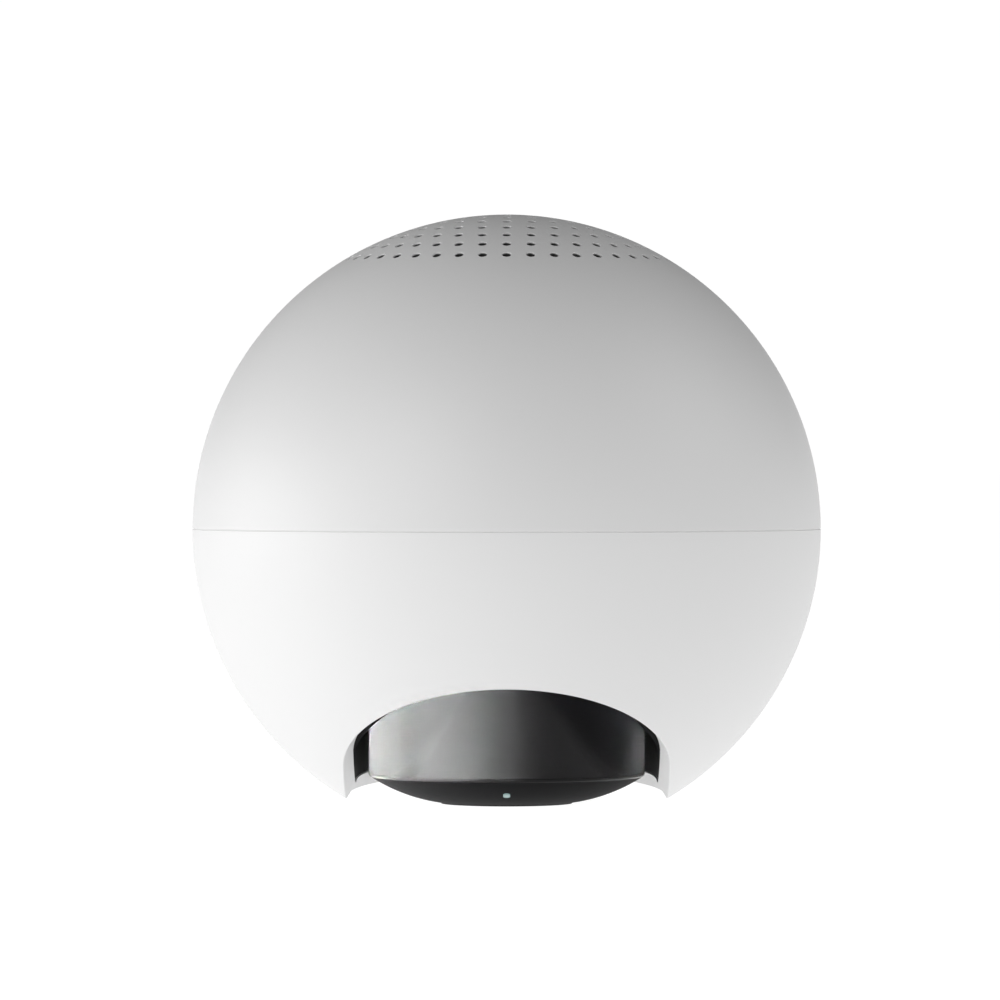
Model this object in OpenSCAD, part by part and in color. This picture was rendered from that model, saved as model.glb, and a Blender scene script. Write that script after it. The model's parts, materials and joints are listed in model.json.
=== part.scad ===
// Ball-shaped smart speaker on a dark pedestal: an upward-firing driver under a drilled crown,
// and a deep mouth in the lower half that shows the pedestal.
// Origin: middle of the flat foot. +Z up, the mouth opens towards -Y. Millimetres.

/* [Ball] */
// Outside diameter of the ball
ball_d = 100; // [98:1:130]
// Wall of both ball shells
ball_wall = 3; // [2.4:0.1:3.4]
// How far the foot stands above the lowest point that the whole ball would have
foot_rise = 6.25; // [5.5:0.05:7]
// Height of the tongue that locates the upper shell on the lower one
tongue_h = 1.8; // [1.2:0.1:2.6]

/* [Crown perforations] */
// Diameter of one sound hole
hole_d = 1.4; // [1:0.1:1.8]
// Number of hole rings around the middle hole
hole_rings = 7; // [3:1:7]
// Angle from one ring to the next, seen from the ball's centre
ring_step = 4.22; // [4:0.02:4.4]
// Extra angle between the middle hole and the first ring
ring_start = 1.35; // [0:0.05:1.5]
// Holes that each ring has more than the ring inside it
ring_gain = 6; // [4:1:6]

/* [Mouth] */
// Half width of the mouth at the ball's outside
mouth_r = 25.5; // [25:0.1:28]
// Height of the mouth's front upper edge above the table
mouth_front_h = 19.6; // [18:0.1:20.4]
// Height of the mouth's rear edge above the table
mouth_rear_h = 3.35; // [3:0.05:5]

/* [Pedestal] */
// Outside diameter of the pedestal drum
drum_d = 44; // [36:0.5:44.5]
// Wall of the drum and of its dish
drum_wall = 1.8; // [1.4:0.1:2.2]
// Radius of the dish's rounding, seen from the side
dish_r = 27; // [24:0.5:32]
// Distance from the axis to the middle of that rounding
dish_in = 7; // [5:0.5:9]
// Radius of the corner between dish and drum
dish_corner = 0.3; // [0.2:0.05:0.8]
// Diameter of the rubber foot
foot_d = 21; // [16:0.5:24]
// Thickness of the rubber foot
foot_t = 1.2; // [0.8:0.1:1.6]
// Amount that the rubber foot stands out of the dish
foot_proud = 0.15; // [0.1:0.05:0.5]
// Width of the status light's window
lens_w = 1.1; // [0.8:0.1:2]
// Length of the window, towards the axis
lens_l = 1.9; // [1.9:0.1:3]
// Distance from the drum's outside to the window's middle
lens_in = 4.5; // [4.4:0.1:6]

/* [Driver] */
// Diameter of the driver's flange
driver_d = 58; // [56:1:60]
// Width of the rubber roll between the basket and the cone
roll_w = 3.8; // [3.2:0.1:5]
// Travel of the cone each way
cone_travel = 1.2; // [0.5:0.1:1.4]
// Outside diameter of the voice coil
coil_d = 13.2; // [12:0.2:15]
// Depth from the flange to the back of the basket
basket_depth = 18.5; // [17:0.5:22]
// Height of the baffle above the ball's centre
baffle_up = 22.3; // [21:0.1:24]

/* [Electronics] */
// Thickness of every circuit board
board_t = 1.6; // [1:0.1:1.6]
// Radius of the main board
board_r = 34; // [32:0.5:35]
// Gap between the well's deck and the main board
board_gap = 5.3; // [4.5:0.1:6]

/* [Rear bay] */
// Width of the pocket for the plug and the controls
bay_w = 35; // [34:0.5:36]
// Height of the pocket
bay_h = 7; // [6.6:0.1:8]
// Travel of the setup button
button_travel = 0.4; // [0.2:0.05:0.45]
// Travel of the microphone switch
slider_travel = 2; // [1:0.1:2.2]

/* [Fits] */
// Gap between parts that are pushed together by hand
fit = 0.1; // [0.05:0.01:0.15]
// Gap around a screw in its hole
screw_fit = 0.05; // [0.03:0.01:0.1]
// Gap around a part that slides
slide_gap = 0.3; // [0.3:0.05:0.4]

/* [Hidden] */
$fn = 96;
ball_r = ball_d / 2;
ball_ri = ball_r - ball_wall;
ball_z = ball_r - foot_rise;
big = 2 * ball_d;

// Crown
crown_angle = ring_start + hole_rings * ring_step;
mesh_t = 0.5;
mesh_r = ball_ri * sin(crown_angle) + 3;

// Mouth: a round-ended slot drawn on the ball, with edges square to its surface.
// Its angles are seen from the ball's centre and counted from straight down.
mouth_half = asin(mouth_r / ball_r);
mouth_front_a = acos((ball_z - mouth_front_h) / ball_r) - mouth_half;
mouth_rear_a = acos((ball_z - mouth_rear_h) / ball_r) - mouth_half;
mouth_ri = ball_ri * sin(mouth_half);

// Well: the dark cup inside the mouth, a slot seen from above
well_clear = 0.2;
well_r = mouth_ri + well_clear;
well_t = 1.5;
well_front = well_r - ball_ri * sin(mouth_front_a + mouth_half);
well_back = ball_ri * sin(mouth_rear_a + mouth_half) - mouth_ri;
well_z = ball_z - ball_ri * cos(mouth_front_a + mouth_half) + 0.3;
deck_top = well_z + well_t;
deck_r = sqrt(pow(ball_ri, 2) - pow(ball_z - well_z, 2)) - 3.3;

// Pedestal
drum_r = drum_d / 2;
drum_ri = drum_r - drum_wall;
foot_r = foot_d / 2;
foot_wall = 1.6;
foot_floor = 0.8;
dish_z = foot_proud + sqrt(pow(dish_r, 2) - pow(foot_r - dish_in, 2));
dish_edge_z = dish_z - sqrt(pow(dish_r, 2) - pow(drum_r - dish_in, 2));
drum_z = dish_edge_z + dish_corner;
spigot_h = 3;
spigot_t = 1.4;
wire_r = 4;
led_board_r = drum_ri - spigot_t - 0.3;
post_r = 1.5;
post_at = foot_r + post_r;
post_angles = [90, 210, 330];
led_board_z = drum_z + spigot_h - 2;
lens_at = drum_r - lens_in;

// Screws: every screw is a pan head on a plain shank
screw_r = 1.25;
head_r = 2.3;
head_h = 1.5;
liner_screw_l = 8;
drum_screw_l = 7;
drum_screw_at = drum_ri - 5;
board_screw_l = 5.2;
board_screw_at = board_r - 5;
baffle_screw_l = 8;
driver_screw_l = 4.5;

// Places of the screws around the axis, as angles
liner_screw_at = deck_r - 4.5;
liner_angles = [0, 58, 122, 180];
drum_angles = [30, 150, 270];
board_angles = [45, 135, 225, 315];
boss_r = 2.9;

// Driver, measured from the top of the baffle
baffle_t = 2.5;
baffle_top = ball_z + baffle_up;
baffle_r = sqrt(pow(ball_ri, 2) - pow(baffle_up, 2)) - 1;
gasket_t = 0.5;
flange_t = 1.2;
flange_r = driver_d / 2;
flange_z = baffle_top + gasket_t;
basket_r = flange_r - 5.2;
cone_r = basket_r - roll_w;
roll_r = roll_w / 2;
roll_t = 0.4;
coil_r = coil_d / 2;
coil_t = 0.4;
basket_back = flange_z - basket_depth;
plate_t = 3;
magnet_t = 7;
yoke_t = 3.5;
plate_r = 15;
magnet_r = 17;
coil_low = basket_back - plate_t - 2.5;
neck_z = basket_back + 5;
cone_z = flange_z - 0.4;
cone_t = 0.6;
cap_r = coil_r + 1.4;
cap_h = 3;
spider_z = basket_back + 2.6;
spider_t = 0.4;
basket_low_r = plate_r - 1;
basket_in_low = basket_low_r - 0.8;
basket_in_high = basket_r - 1.2;
basket_low_z = basket_back + 1.2;
basket_high_z = flange_z - 2.6;
basket_slope = (basket_in_high - basket_in_low) / (basket_high_z - basket_low_z);
spider_r = basket_in_low + (spider_z - basket_low_z) * basket_slope - fit;
driver_angles = [0, 90, 180, 270];
driver_screw_at = flange_r - 2.7;
baffle_screw_at = baffle_r - 5.5;
baffle_angles = [45, 135, 225, 315];

// Microphones on a ring board above the driver's flange
mic_in_r = flange_r - 1.5;
mic_out_r = baffle_screw_at - boss_r - 0.5;
mic_post_r = 1.5;
mic_post_at = flange_r + mic_post_r + 0.3;
mic_z = flange_z + flange_t + head_h + 1;
mic_t = 1;
mic_angles = [90, 210, 330];

// Main board and rear bay
board_z = deck_top + board_gap;
board_top = board_z + board_t;
usb_w = 8.94;
usb_h = 3.16;
usb_l = 7.3;
usb_wall = 0.3;
bay_z = board_top + usb_h / 2;
bay_x = bay_w / 2;
bay_low = bay_z - bay_h / 2;
bay_round = 2;
bezel_t = 2;
web_t = 1.6;
web_y = sqrt(pow(ball_r, 2) - pow(bay_x, 2) - pow(ball_z - bay_low, 2)) - 0.4;
web_back = web_y - web_t;
control_x = bay_x - 5.5;
button_r = 1.7;
button_flange_r = 2.5;
button_proud = 0.5;
button_back = web_back - slide_gap - 0.8;
knob_w = 2.6;
knob_h = 1.6;
knob_plate_w = 7;
knob_plate_h = 3.4;
knob_back = web_back - slide_gap - 0.8;
switch_w = 6;
switch_h = 4;
switch_l = 3.4;

// Repeats its children at each angle, at a distance from the axis
module around(angles, at) {
    for (a = angles)
        rotate([0, 0, a])
            translate([at, 0, 0])
                children();
}

module tube(outer, inner, h) {
    difference() {
        cylinder(r = outer, h = h);
        translate([0, 0, -1])
            cylinder(r = inner, h = h + 2);
    }
}

// Pan-head screw hanging down from its head's underside at z = 0
module screw(l) {
    cylinder(r = head_r, h = head_h);
    translate([0, 0, -l])
        cylinder(r = screw_r, h = l + 0.1);
}

// Rounded slot seen from above, from its front centre to its rear centre
module slot_prism(r, z, h) {
    translate([0, well_front, z])
        cylinder(r = r, h = h);
    translate([0, well_back, z])
        cylinder(r = r, h = h);
    translate([-r, well_front, z])
        cube([2 * r, well_back - well_front, h]);
}

// Cone with its tip at the ball's centre, cut off short of the tip
module ball_cone(half) {
    near = ball_r / 4;
    far = ball_r * 1.2;
    translate([0, 0, near])
        cylinder(r1 = near * tan(half), r2 = far * tan(half), h = far - near);
}

// The mouth's cutter: one cone tipped to the front, one to the rear, and a sector turned about
// the X axis between them
module mouth_cutter() {
    near = ball_r / 4;
    far = ball_r * 1.2;
    spread = tan(mouth_half);
    translate([0, 0, ball_z]) {
        rotate([180 - mouth_front_a, 0, 0])
            rotate([0, 0, 90])
                ball_cone(mouth_half);
        rotate([180 + mouth_rear_a, 0, 0])
            rotate([0, 0, -90])
                ball_cone(mouth_half);
        rotate([mouth_rear_a, 0, 0])
            rotate([0, 90, 0])
                rotate_extrude(angle = -(mouth_front_a + mouth_rear_a))
                    polygon([
                        [near, -near * spread], [far, -far * spread],
                        [far, far * spread], [near, near * spread]
                    ]);
    }
}

module crown_holes() {
    for (k = [0:hole_rings]) {
        count = k == 0 ? 1 : ring_gain * k + 1;
        tilt = k == 0 ? 0 : ring_start + k * ring_step;
        for (i = [0:count - 1])
            rotate([0, 0, i * 360 / count - 90])
                rotate([0, tilt, 0])
                    translate([0, 0, ball_ri - 1])
                        cylinder(r = hole_d / 2, h = ball_wall + 2);
    }
}

module top_shell() {
    color("whitesmoke")
        translate([0, 0, ball_z])
            difference() {
                sphere(r = ball_r);
                difference() {
                    sphere(r = ball_ri);
                    around(baffle_angles, baffle_screw_at)
                        translate([0, 0, baffle_up])
                            cylinder(r = boss_r, h = ball_r);
                }
                translate([0, 0, -big])
                    cylinder(r = big, h = big);
                cylinder(r = ball_ri + ball_wall / 2, h = tongue_h + fit);
                around(baffle_angles, baffle_screw_at)
                    translate([0, 0, baffle_up - 1])
                        cylinder(r = screw_r + screw_fit, h = baffle_screw_l - baffle_t + 1.5);
                crown_holes();
            }
}

module dust_mesh() {
    color("dimgray")
        translate([0, 0, ball_z])
            intersection() {
                difference() {
                    sphere(r = ball_ri - fit / 2);
                    sphere(r = ball_ri - fit / 2 - mesh_t);
                }
                cylinder(r = mesh_r, h = ball_r);
            }
}

module bay_block(grow, y0) {
    w = bay_x + bezel_t + grow;
    h = bay_h / 2 + bezel_t + grow;
    r = bay_round + bezel_t + grow;
    rounded_bar(w, h, r, y0);
}

// A bar with rounded corners that runs along +Y from y0 past the ball
module rounded_bar(half_w, half_h, r, y0) {
    l = ball_r + 2 - y0;
    translate([-half_w, y0, bay_z - half_h + r])
        cube([2 * half_w, l, 2 * (half_h - r)]);
    translate([-half_w + r, y0, bay_z - half_h])
        cube([2 * (half_w - r), l, 2 * half_h]);
    for (x = [-half_w + r, half_w - r])
        for (z = [bay_z - half_h + r, bay_z + half_h - r])
            translate([x, y0, z])
                rotate([-90, 0, 0])
                    cylinder(r = r, h = l);
}

module bottom_shell() {
    color("whitesmoke")
        difference() {
            union() {
                difference() {
                    translate([0, 0, ball_z])
                        sphere(r = ball_r);
                    translate([0, 0, ball_z])
                        sphere(r = ball_ri);
                    translate([0, 0, ball_z])
                        cylinder(r = big, h = big);
                }
                translate([0, 0, ball_z - 1])
                    intersection() {
                        tube(ball_ri + ball_wall / 2 - fit, ball_ri - 0.2, tongue_h + 1);
                        cylinder(r = big, h = tongue_h + 1);
                    }
                intersection() {
                    around(liner_angles, liner_screw_at)
                        cylinder(r = boss_r, h = well_z);
                    translate([0, 0, ball_z])
                        sphere(r = ball_r - ball_wall / 2);
                }
            }
            mouth_cutter();
            around(liner_angles, liner_screw_at)
                translate([0, 0, deck_top - liner_screw_l - 0.5])
                    cylinder(r = screw_r + screw_fit, h = liner_screw_l);
            bay_block(fit, web_back - 3);
        }
}

module baffle() {
    color("darkslategray")
        difference() {
            union() {
                translate([0, 0, baffle_top - baffle_t])
                    cylinder(r = baffle_r, h = baffle_t);
                around(mic_angles, mic_post_at)
                    translate([0, 0, baffle_top])
                        cylinder(r = mic_post_r, h = mic_z - baffle_top);
            }
            translate([0, 0, baffle_top - baffle_t - 1])
                cylinder(r = basket_r + 0.5, h = baffle_t + 2);
            around(baffle_angles, baffle_screw_at)
                translate([0, 0, baffle_top - baffle_t - 1])
                    cylinder(r = screw_r + screw_fit, h = baffle_t + 2);
            around(driver_angles, driver_screw_at)
                translate([0, 0, baffle_top - baffle_t - 1])
                    cylinder(r = screw_r + screw_fit, h = baffle_t + 2);
        }
}

module baffle_screws() {
    color("silver")
        around(baffle_angles, baffle_screw_at)
            translate([0, 0, baffle_top - baffle_t])
                mirror([0, 0, 1])
                    screw(baffle_screw_l);
}

module driver_gasket() {
    color("black")
        difference() {
            translate([0, 0, baffle_top])
                tube(flange_r, basket_r + 0.5, gasket_t);
            around(driver_angles, driver_screw_at)
                translate([0, 0, baffle_top - 1])
                    cylinder(r = screw_r + screw_fit, h = gasket_t + 2);
        }
}

module driver_basket() {
    foot_in = coil_r + 0.5;
    color("dimgray")
        difference() {
            rotate_extrude()
                polygon([
                    [foot_in, basket_back], [basket_low_r, basket_back],
                    [basket_r, flange_z - 3], [basket_r, flange_z],
                    [flange_r, flange_z], [flange_r, flange_z + flange_t],
                    [basket_in_high, flange_z + flange_t], [basket_in_high, basket_high_z],
                    [basket_in_low, basket_low_z], [foot_in, basket_low_z]
                ]);
            for (a = driver_angles)
                rotate([0, 0, a + 45])
                    translate([basket_low_r - 2, -5, basket_back + 3.5])
                        cube([basket_r, 10, basket_depth - 8]);
            around(driver_angles, driver_screw_at)
                translate([0, 0, flange_z - 1])
                    cylinder(r = screw_r + screw_fit, h = flange_t + 2);
        }
}

module driver_plate() {
    color("silver")
        translate([0, 0, basket_back - plate_t])
            tube(plate_r, coil_r + slide_gap, plate_t);
}

module driver_magnet() {
    color("gray")
        translate([0, 0, basket_back - plate_t - magnet_t])
            tube(magnet_r, coil_r + 3, magnet_t);
}

module driver_yoke() {
    pole_r = coil_r - coil_t - slide_gap;
    yoke_z = basket_back - plate_t - magnet_t - yoke_t;
    color("silver") {
        translate([0, 0, yoke_z])
            cylinder(r = magnet_r - 1, h = yoke_t);
        translate([0, 0, yoke_z])
            cylinder(r = pole_r, h = yoke_t + magnet_t + plate_t);
    }
}

module driver_screws() {
    color("silver")
        around(driver_angles, driver_screw_at)
            translate([0, 0, flange_z + flange_t])
                screw(driver_screw_l);
}

// Half-round roll that carries the cone's rim
module surround() {
    mid = cone_r + roll_r;
    color("black")
        translate([0, 0, flange_z + flange_t])
            rotate_extrude()
                difference() {
                    translate([mid, 0])
                        circle(r = roll_r);
                    translate([mid, 0])
                        circle(r = roll_r - roll_t);
                    translate([0, -ball_r])
                        square([ball_r, ball_r]);
                }
}

module spider() {
    color("goldenrod")
        translate([0, 0, spider_z])
            difference() {
                tube(spider_r, coil_r + 0.05, spider_t);
                for (r = [coil_r + 1.6:1.6:spider_r - 1])
                    translate([0, 0, spider_t / 2])
                        tube(r + 0.5, r, spider_t);
            }
}

module driver_cone() {
    color("darkgray")
        rotate_extrude()
            polygon([
                [coil_r, neck_z - 1], [coil_r + cone_t, neck_z - 1],
                [coil_r + cone_t, neck_z], [cone_r, cone_z - cone_t],
                [cone_r, cone_z], [coil_r, neck_z + cone_t]
            ]);
}

module dust_cap() {
    cap_ball = (pow(cap_r, 2) + pow(cap_h, 2)) / (2 * cap_h);
    slope = (cone_z - neck_z - cone_t) / (cone_r - coil_r);
    cap_z = neck_z + cone_t + (cap_r - coil_r) * slope;
    color("dimgray")
        difference() {
            intersection() {
                translate([0, 0, cap_z + cap_h - cap_ball])
                    difference() {
                        sphere(r = cap_ball);
                        sphere(r = cap_ball - 0.4);
                    }
                translate([0, 0, cap_z - 0.4 * slope])
                    cylinder(r = cap_r, h = cap_h + 1);
            }
            rotate_extrude()
                polygon([
                    [coil_r, neck_z - 1], [cone_r, neck_z - 1],
                    [cone_r, cone_z], [coil_r, neck_z + cone_t]
                ]);
        }
}

module voice_coil() {
    color("peru")
        translate([0, 0, coil_low])
            tube(coil_r, coil_r - coil_t, neck_z - coil_low);
}

module mic_board() {
    color("darkgreen")
        translate([0, 0, mic_z])
            tube(mic_out_r, mic_in_r, mic_t);
}

module mic_capsules() {
    color("gold")
        around(mic_angles, (mic_in_r + mic_out_r) / 2)
            translate([-1.4, -1.9, mic_z + mic_t])
                cube([2.8, 3.8, 1]);
}

module well_liner() {
    color("black")
        difference() {
            intersection() {
                union() {
                    slot_prism(well_r + well_t, 0, deck_top);
                    translate([0, 0, well_z])
                        cylinder(r = deck_r, h = well_t);
                    around(board_angles, board_screw_at)
                        translate([0, 0, well_z])
                            cylinder(r = boss_r, h = board_z - well_z);
                }
                translate([0, 0, ball_z])
                    sphere(r = ball_ri - fit / 2);
            }
            slot_prism(well_r, -1, well_z + 1);
            translate([0, 0, well_z - 1])
                cylinder(r = wire_r, h = well_t + 2);
            around(liner_angles, liner_screw_at)
                translate([0, 0, well_z - 1])
                    cylinder(r = screw_r + screw_fit, h = well_t + 2);
            around(drum_angles, drum_screw_at)
                translate([0, 0, well_z - 1])
                    cylinder(r = screw_r + screw_fit, h = well_t + 2);
            around(board_angles, board_screw_at)
                translate([0, 0, board_top - board_screw_l - 0.3])
                    cylinder(r = screw_r + screw_fit, h = board_screw_l);
        }
}

module liner_screws() {
    color("silver")
        around(liner_angles, liner_screw_at)
            translate([0, 0, deck_top])
                screw(liner_screw_l);
}

module main_board() {
    color("darkgreen")
        difference() {
            union() {
                translate([0, 0, board_z])
                    cylinder(r = board_r, h = board_t);
                translate([-bay_x, 0, board_z])
                    cube([bay_w, button_back - button_travel - slide_gap, board_t]);
                translate([-usb_w / 2 - 1, 0, board_z])
                    cube([usb_w + 2, web_back - 0.3, board_t]);
            }
            around(board_angles, board_screw_at)
                translate([0, 0, board_z - 1])
                    cylinder(r = screw_r + screw_fit, h = board_t + 2);
        }
}

module board_screws() {
    color("silver")
        around(board_angles, board_screw_at)
            translate([0, 0, board_top])
                screw(board_screw_l);
}

module processor_shield() {
    can_w = 22;
    can_l = 17;
    can_h = 2.4;
    color("silver")
        translate([-can_w / 2, -can_l / 2 - 4, board_top])
            cube([can_w, can_l, can_h]);
}

module board_chips() {
    chip_h = 1.2;
    color("black") {
        translate([-21, 8, board_top])
            cube([7, 7, chip_h]);
        translate([13, 8, board_top])
            cube([9, 6, chip_h]);
        translate([-4, 12, board_top])
            cube([8, 8, chip_h]);
        translate([-3.5, -26, board_top])
            cube([7, 9, chip_h]);
    }
}

module usb_socket() {
    color("silver")
        difference() {
            translate([-usb_w / 2, web_back - 0.1 - usb_l, board_top])
                cube([usb_w, usb_l, usb_h]);
            difference() {
                translate([-usb_w / 2 + usb_wall, web_back - usb_l + 0.9, board_top + usb_wall])
                    cube([usb_w - 2 * usb_wall, usb_l, usb_h - 2 * usb_wall]);
                translate([-usb_w / 2 + 1.2, web_back - usb_l, bay_z - 0.35])
                    cube([usb_w - 2.4, usb_l - 1.5, 0.7]);
            }
        }
}

module port_bezel() {
    slot_l = knob_w + slider_travel + 2 * slide_gap;
    color("black")
        difference() {
            intersection() {
                bay_block(0, web_back);
                translate([0, 0, ball_z])
                    sphere(r = ball_r);
            }
            rounded_bar(bay_x, bay_h / 2, bay_round, web_y);
            translate([-usb_w / 2 - 0.3, web_back - 1, bay_z - usb_h / 2 - 0.3])
                cube([usb_w + 0.6, web_t + 2, usb_h + 0.6]);
            translate([control_x, web_back - 1, bay_z])
                rotate([-90, 0, 0])
                    cylinder(r = button_r + slide_gap, h = web_t + 2);
            translate([-control_x - slot_l / 2, web_back - 1, bay_z - knob_h / 2 - slide_gap])
                cube([slot_l, web_t + 2, knob_h + 2 * slide_gap]);
        }
}

module setup_button() {
    color("gray")
        translate([control_x, 0, bay_z]) {
            translate([0, button_back, 0])
                rotate([-90, 0, 0])
                    cylinder(r = button_r, h = web_y + button_proud - button_back);
            translate([0, button_back, 0])
                rotate([-90, 0, 0])
                    cylinder(r = button_flange_r, h = 0.8);
        }
}

module button_switch() {
    color("black")
        translate([control_x - switch_w / 2, 0, board_top]) {
            translate([0, button_back - button_travel - 0.9 - switch_l, 0])
                cube([switch_w, switch_l, switch_h]);
            translate([switch_w / 2, button_back - button_travel - 1, bay_z - board_top])
                rotate([-90, 0, 0])
                    cylinder(r = 1, h = 0.9);
        }
}

// The slider rests at its unmuted end and slides towards +X
module mute_slider() {
    color("orangered")
        translate([-control_x - slider_travel / 2, 0, bay_z]) {
            translate([-knob_w / 2, knob_back + 0.4, -knob_h / 2])
                cube([knob_w, web_y + button_proud - knob_back - 0.4, knob_h]);
            translate([-knob_plate_w / 2, knob_back, -knob_plate_h / 2])
                cube([knob_plate_w, 0.8, knob_plate_h]);
        }
}

module mute_switch() {
    color("black")
        translate([-control_x - switch_w / 2, knob_back - slide_gap - switch_l, board_top])
            cube([switch_w, switch_l, switch_h]);
}

module base_drum() {
    color("black")
        difference() {
            union() {
                difference() {
                    translate([0, 0, drum_z])
                        cylinder(r = drum_r, h = well_z - drum_z);
                    translate([0, 0, drum_z - 1])
                        cylinder(r = drum_ri, h = well_z - drum_wall - drum_z + 1);
                }
                around(drum_angles, drum_screw_at)
                    translate([0, 0, deck_top - drum_screw_l - 1.5])
                        cylinder(r = boss_r, h = drum_screw_l - well_t + 0.5);
            }
            translate([0, 0, well_z - drum_wall - 1])
                cylinder(r = wire_r, h = drum_wall + 2);
            around(drum_angles, drum_screw_at)
                translate([0, 0, deck_top - drum_screw_l - 0.3])
                    cylinder(r = screw_r + screw_fit, h = drum_screw_l + 1);
        }
}

module drum_screws() {
    color("silver")
        around(drum_angles, drum_screw_at)
            translate([0, 0, deck_top])
                screw(drum_screw_l);
}

// Rounded slot for the status light, upright through the dish
module lens_pill(grow, z, h) {
    r = lens_w / 2 + grow;
    run = (lens_l - lens_w) / 2;
    for (y = [-run, run])
        translate([0, -lens_at + y, z])
            cylinder(r = r, h = h);
    translate([-r, -lens_at - run, z])
        cube([2 * r, 2 * run, h]);
}

// Side of the dish, moved inwards by a wall
module dish_side(wall) {
    r = dish_r - wall;
    intersection() {
        union() {
            translate([dish_in, dish_z])
                circle(r = r);
            translate([0, dish_z - r])
                square([dish_in, 2 * r]);
        }
        square([2 * drum_r, dish_z]);
    }
}

module base_dish() {
    ring_r = drum_ri - fit / 2;
    color("black")
        difference() {
            union() {
                rotate_extrude()
                    difference() {
                        union() {
                            intersection() {
                                difference() {
                                    dish_side(0);
                                    dish_side(drum_wall);
                                }
                                union() {
                                    square([drum_r - dish_corner, drum_z]);
                                    translate([0, dish_edge_z])
                                        square([drum_r, dish_corner]);
                                    translate([drum_r - dish_corner, dish_edge_z])
                                        circle(r = dish_corner);
                                }
                            }
                            intersection() {
                                square([foot_r + foot_wall, foot_proud + foot_t + foot_floor]);
                                dish_side(0);
                            }
                            intersection() {
                                translate([ring_r - spigot_t, 0])
                                    square([spigot_t, drum_z + spigot_h]);
                                dish_side(drum_wall / 2);
                            }
                        }
                        square([foot_r, foot_t]);
                        square([big, foot_proud]);
                    }
                around(post_angles, post_at)
                    translate([0, 0, foot_t + foot_floor / 2])
                        cylinder(r = post_r, h = led_board_z - foot_t - foot_floor / 2);
            }
            lens_pill(fit / 2, -1, drum_z + 1);
        }
}

module led_board() {
    color("darkgreen")
        translate([0, 0, led_board_z])
            cylinder(r = led_board_r, h = board_t);
}

module led_chip() {
    color("white")
        translate([-0.8, -lens_at - 0.8, led_board_z - 0.7])
            cube([1.6, 1.6, 0.7]);
}

module led_lens() {
    color("turquoise")
        intersection() {
            lens_pill(0, 0, led_board_z - 0.9);
            rotate_extrude()
                dish_side(0);
        }
}

module foot_pad() {
    color("black")
        cylinder(r = foot_r - fit / 2, h = foot_t);
}

top_shell();
dust_mesh();
bottom_shell();
baffle();
baffle_screws();
driver_gasket();
driver_basket();
driver_plate();
driver_magnet();
driver_yoke();
driver_screws();
surround();
spider();
driver_cone();
dust_cap();
voice_coil();
mic_board();
mic_capsules();
well_liner();
liner_screws();
main_board();
board_screws();
processor_shield();
board_chips();
usb_socket();
port_bezel();
setup_button();
button_switch();
mute_slider();
mute_switch();
base_drum();
drum_screws();
base_dish();
led_board();
led_chip();
led_lens();
foot_pad();
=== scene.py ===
# %% [markdown]
# A ball-shaped smart speaker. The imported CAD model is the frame: it says where every part is.
# This lesson gives the visible parts finer meshes and every part a finish of its own.

# %% Load the frame
import json
import math

import bmesh
import bpy
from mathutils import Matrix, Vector


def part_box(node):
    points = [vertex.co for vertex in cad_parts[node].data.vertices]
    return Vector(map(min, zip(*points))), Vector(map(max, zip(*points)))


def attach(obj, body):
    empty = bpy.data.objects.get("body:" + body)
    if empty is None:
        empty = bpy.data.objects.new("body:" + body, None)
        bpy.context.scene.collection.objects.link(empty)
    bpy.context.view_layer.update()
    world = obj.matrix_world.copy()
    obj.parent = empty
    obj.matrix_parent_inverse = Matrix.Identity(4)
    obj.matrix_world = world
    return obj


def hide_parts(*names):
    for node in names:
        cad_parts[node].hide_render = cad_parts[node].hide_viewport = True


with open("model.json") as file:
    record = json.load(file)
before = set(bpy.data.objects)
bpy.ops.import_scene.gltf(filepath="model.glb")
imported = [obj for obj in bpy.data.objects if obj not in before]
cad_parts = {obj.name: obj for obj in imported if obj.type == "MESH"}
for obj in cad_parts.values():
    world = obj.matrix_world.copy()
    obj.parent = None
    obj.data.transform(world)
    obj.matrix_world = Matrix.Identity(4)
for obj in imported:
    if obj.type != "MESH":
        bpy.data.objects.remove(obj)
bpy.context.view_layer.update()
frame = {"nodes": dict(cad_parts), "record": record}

nodes = frame["nodes"]
print("CAD nodes:", len(nodes))

# %% [markdown]
# Sizes come from the frame. The upper shell stands on the ball's equator, so its box gives the
# ball's centre and radius, and the dust mesh lies against the inside of the wall.

# %% Sizes read from the frame
MM = 0.001
top_low, top_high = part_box("top_shell")
BALL_Z = top_low.z
BALL_R = top_high.z - top_low.z
FIT = 0.1 * MM
BALL_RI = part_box("dust_mesh")[1].z - BALL_Z + FIT / 2
WALL = BALL_R - BALL_RI
DRUM_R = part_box("base_drum")[1].x
DRUM_LOW, DRUM_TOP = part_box("base_drum")[0].z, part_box("base_drum")[1].z
FOOT_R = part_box("foot_pad")[1].x
LENS_LOW, LENS_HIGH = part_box("led_lens")
print("ball radius %.2f mm, wall %.2f mm" % (BALL_R / MM, WALL / MM))

# %% [markdown]
# The camera stands about a metre away, a little above the ball's middle. Its long lens keeps the
# ball round, where a short one would stretch it.

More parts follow.
